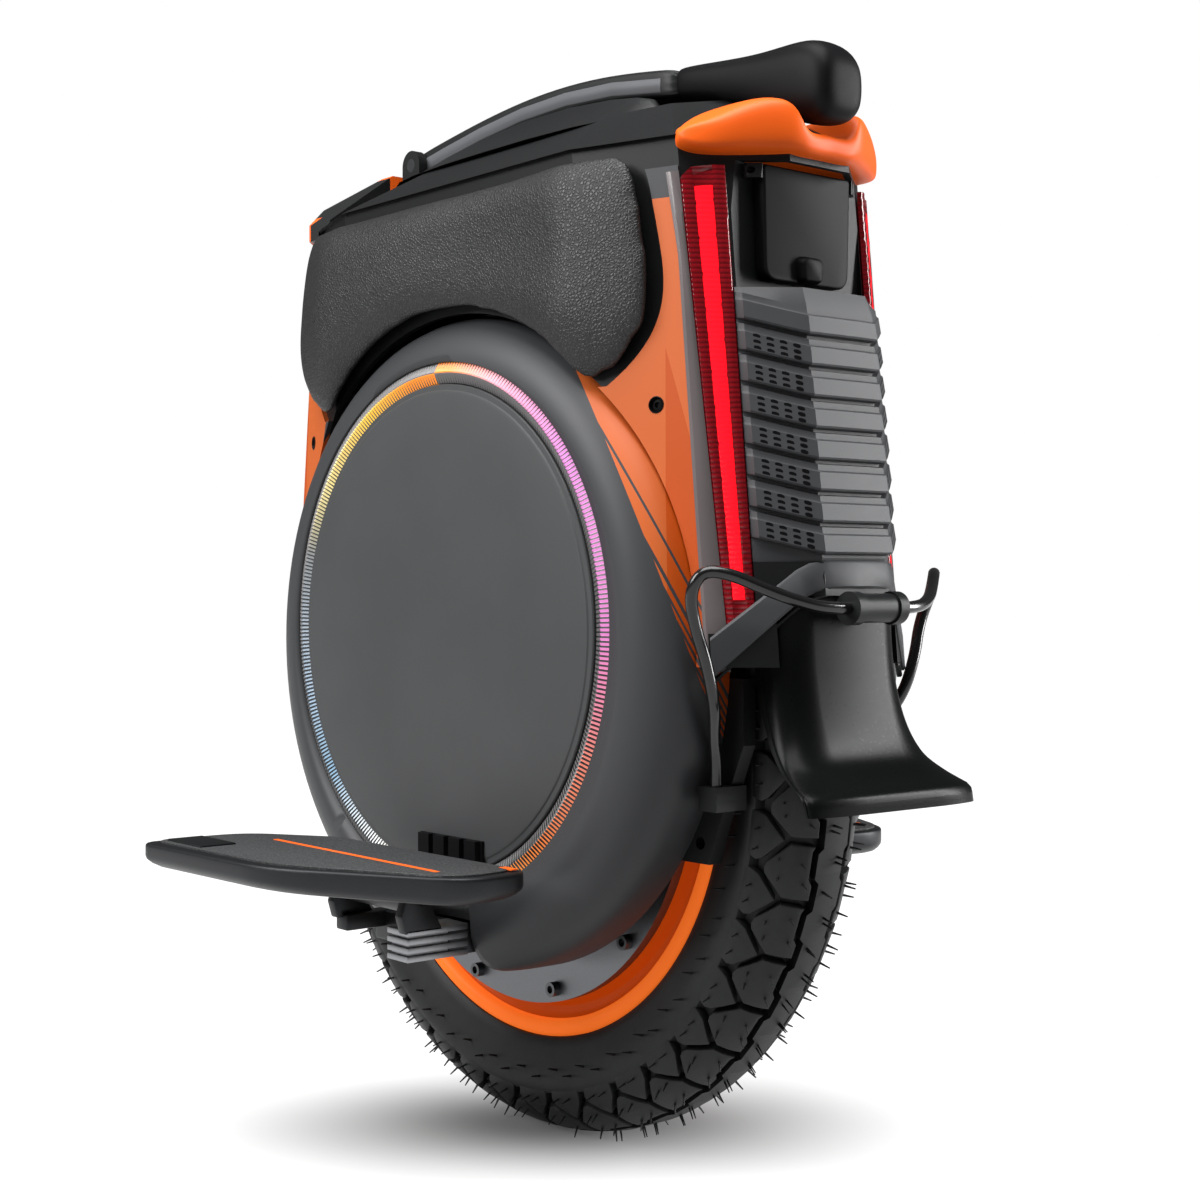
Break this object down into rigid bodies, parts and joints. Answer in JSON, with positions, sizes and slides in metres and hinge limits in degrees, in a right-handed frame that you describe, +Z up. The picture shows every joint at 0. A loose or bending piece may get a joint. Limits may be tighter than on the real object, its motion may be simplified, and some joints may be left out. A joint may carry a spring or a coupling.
{
  "type": "electric unicycle",
  "caption": "Self-balancing electric unicycle: knobbly wheel in a tall body with folding pedals, knee pads, lit side rings, tail lamps, mudguard and a swing-up carrying handle.",
  "frame": {"origin": "point on the ground under the axle", "axes": "+X to the rider's right along the axle, +Y forward, +Z up"},
  "size_m": [0.4192, 0.472, 0.5905],
  "materials": {
    "tyre_rubber": "moulded",
    "black_rubber": "matt",
    "orange_rim": "satin",
    "steel": "satin",
    "grey_aluminium": "satin",
    "dark_aluminium": "satin",
    "copper_wire": "enamelled",
    "black_plastic": "fine grain",
    "grey_plastic": "fine grain",
    "orange_plastic": "satin",
    "gloss_black": "gloss",
    "pad_leather": "grained",
    "red_lens": "gloss",
    "clear_lens": "gloss",
    "lit_ring": "lit",
    "dark_glass": "gloss",
    "board_green": "matt",
    "grip_sheet": "gritty"
  },
  "bodies": {
    "chassis": {"axle_shaft": "steel", "axle_nuts": "steel", "stator_core": "steel", "stator_windings": "copper_wire", "hanger_left": "grey_aluminium", "hanger_right": "grey_aluminium", "pedal_bracket_left": "grey_aluminium", "pedal_bracket_right": "grey_aluminium", "pedal_pins": "steel", "wheel_arch": "black_plastic", "battery_packs": "black_plastic", "heat_sink": "grey_aluminium", "controller_board": "board_green", "main_shell": "black_plastic", "top_cover": "black_plastic", "display": "dark_glass", "side_cover_left": "grey_plastic", "side_cover_right": "grey_plastic", "side_disc_left": "grey_plastic", "side_disc_right": "grey_plastic", "light_ring_left": "lit_ring", "light_ring_right": "lit_ring", "rear_trim_left": "orange_plastic", "rear_trim_right": "orange_plastic", "front_trims": "orange_plastic", "panel_screws": "steel", "knee_pad_left": "pad_leather", "knee_pad_right": "pad_leather", "tail_lamp_left": "red_lens", "tail_lamp_right": "red_lens", "rear_panel": "grey_plastic", "rear_arch": "black_plastic", "mudguard": "gloss_black", "tail_rest": "orange_plastic", "front_nose": "orange_plastic", "front_panel": "black_plastic", "headlamp": "clear_lens", "charge_port": "black_plastic", "cover_bumpers": "black_rubber", "cable_left": "gloss_black", "cable_right": "gloss_black", "cable_connector": "black_plastic", "cable_brackets": "black_plastic", "handle_pin": "steel"},
    "wheel": {"tyre": "tyre_rubber", "inner_tube": "tyre_rubber", "valve_stem": "black_rubber", "rim": "orange_rim", "magnet_ring": "steel", "motor_covers": "grey_aluminium", "motor_cover_screws": "steel", "wheel_bearings": "steel"},
    "pedal_left": {"pedal_left": "dark_aluminium", "pedal_deck_left": "grip_sheet"},
    "pedal_right": {"pedal_right": "dark_aluminium", "pedal_deck_right": "grip_sheet"},
    "handle": {"handle_bar": "black_plastic", "handle_grip": "black_rubber"},
    "port_flap": {"port_flap": "black_rubber"},
    "power_button": {"power_button": "black_rubber"}
  },
  "joints": [
    {"name": "wheel_spin", "type": "hinge", "parent": "chassis", "child": "wheel", "pos_m": [0, 0, 0.216], "axis": [1, 0, 0], "continuous": true},
    {"name": "pedal_left_fold", "type": "hinge", "parent": "chassis", "child": "pedal_left", "pos_m": [-0.122, 0, 0.146], "axis": [0, 1, 0], "range_deg": [0, 85]},
    {"name": "pedal_right_fold", "type": "hinge", "parent": "chassis", "child": "pedal_right", "pos_m": [0.122, 0, 0.146], "axis": [0, -1, 0], "range_deg": [0, 85]},
    {"name": "handle_swing", "type": "hinge", "parent": "chassis", "child": "handle", "pos_m": [0, 0.122, 0.568], "axis": [-1, 0, 0], "range_deg": [0, 100]},
    {"name": "port_flap_open", "type": "hinge", "parent": "chassis", "child": "port_flap", "pos_m": [0, -0.1905, 0.5095], "axis": [-1, 0, 0], "range_deg": [0, 70]},
    {"name": "power_button_press", "type": "slide", "parent": "chassis", "child": "power_button", "axis": [0, 0, -1], "range_m": [0, 0.002], "stiffness_N_per_m": 600}
  ]
}
